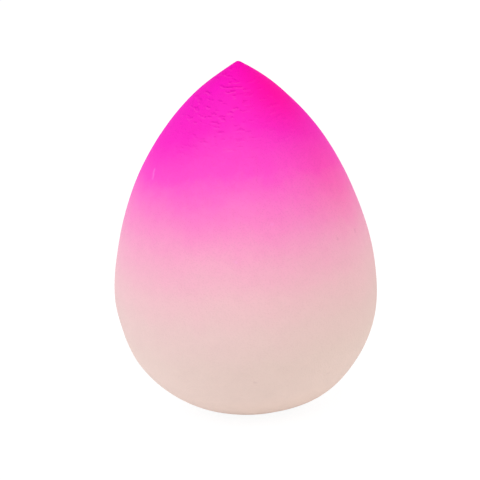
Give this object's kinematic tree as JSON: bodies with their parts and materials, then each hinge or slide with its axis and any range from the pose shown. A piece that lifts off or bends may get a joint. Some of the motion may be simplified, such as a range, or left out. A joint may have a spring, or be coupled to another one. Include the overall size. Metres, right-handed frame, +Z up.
{
  "type": "makeup sponge",
  "caption": "Teardrop foam makeup sponge that stands tip up, with a rounded foot for dabbing, a squashy belly, a bendable neck and a fine tip.",
  "frame": {"origin": "centre of the small flat under the foot, on the surface that the sponge stands on", "axes": "+Z up the axis of the teardrop to the tip, +X to the right of the front view, +Y away from the viewer; the tip bends about Y"},
  "size_m": [0.044, 0.044, 0.06],
  "materials": {
    "foam_nude": "matte",
    "foam_blush": "matte",
    "foam_rose": "matte",
    "foam_pink": "matte",
    "foam_hot_pink": "matte",
    "foam_fuchsia": "matte",
    "foam_magenta": "matte"
  },
  "bodies": {
    "base": {"base": "foam_nude", "belly": "foam_blush"},
    "crown": {"waist": "foam_rose", "shoulder": "foam_pink", "neck_lower": "foam_hot_pink"},
    "tip": {"neck_upper": "foam_fuchsia", "tip": "foam_magenta"}
  },
  "joints": [
    {"name": "squash", "type": "slide", "parent": "base", "child": "crown", "axis": [0, 0, 1], "range_m": [-0.012, 0], "stiffness_N_per_m": 250, "deforming": ["belly", "waist"]},
    {"name": "tip_bend", "type": "hinge", "parent": "crown", "child": "tip", "pos_m": [0, 0, 0.0465], "axis": [0, 1, 0], "range_deg": [-40, 40], "stiffness_Nm_per_rad": 0.007, "deforming": ["neck_lower", "neck_upper"]}
  ]
}
